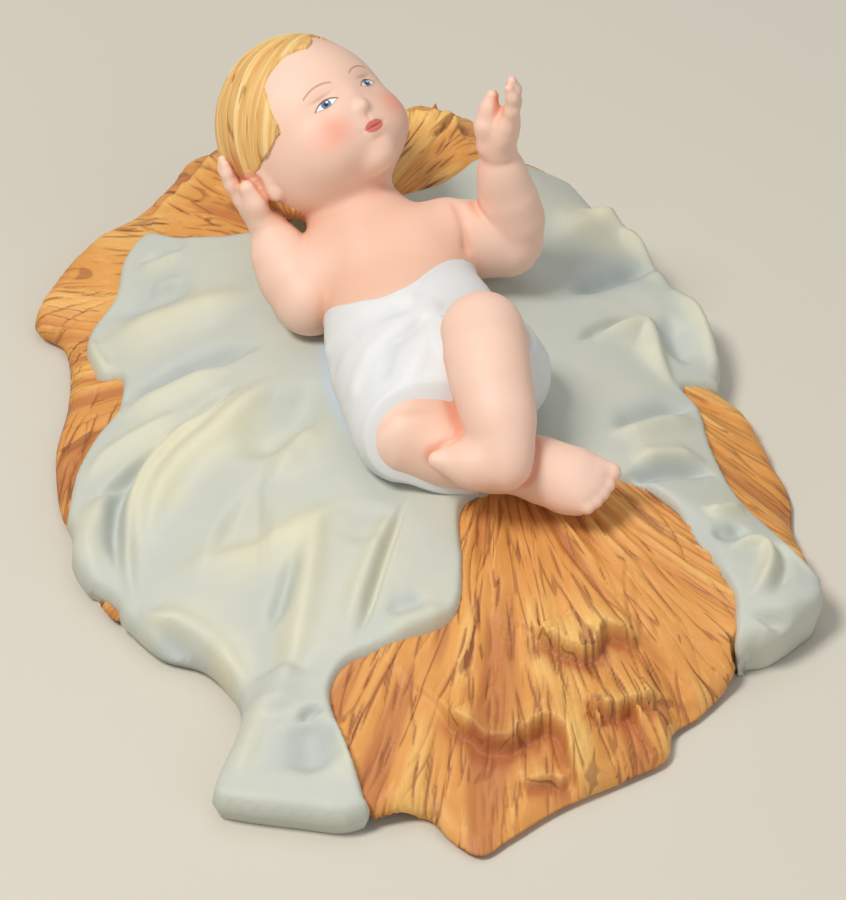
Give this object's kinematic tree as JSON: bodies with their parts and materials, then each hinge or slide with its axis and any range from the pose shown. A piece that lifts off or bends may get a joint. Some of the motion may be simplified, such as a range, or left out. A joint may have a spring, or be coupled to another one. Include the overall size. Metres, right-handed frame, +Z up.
{
  "type": "nativity child figurine",
  "caption": "Bisque porcelain infant lying with raised hands on a draped pale blanket over a mound of golden hay, cast as one piece on a flat foot ring.",
  "frame": {"origin": "middle of the figurine's footprint, on the plane that it rests on", "axes": "+Z up from the foot ring, +Y from the front tip of the hay to the pillow behind the child's head, +X to the right as seen from the front"},
  "size_m": [0.1474, 0.1834, 0.0691],
  "materials": {
    "bisque": "matte unglazed white bisque porcelain",
    "painted_flesh": "matte peach flesh colour with warmer airbrushed creases",
    "painted_hair": "matte golden yellow with brown brush strokes in the locks",
    "painted_loincloth": "matte white bisque",
    "painted_blanket": "matte pale grey blue with cream on the folds",
    "painted_hay": "matte golden orange with brown washed into the strokes"
  },
  "bodies": {
    "root": {"figurine": "bisque"}
  },
  "joints": []
}
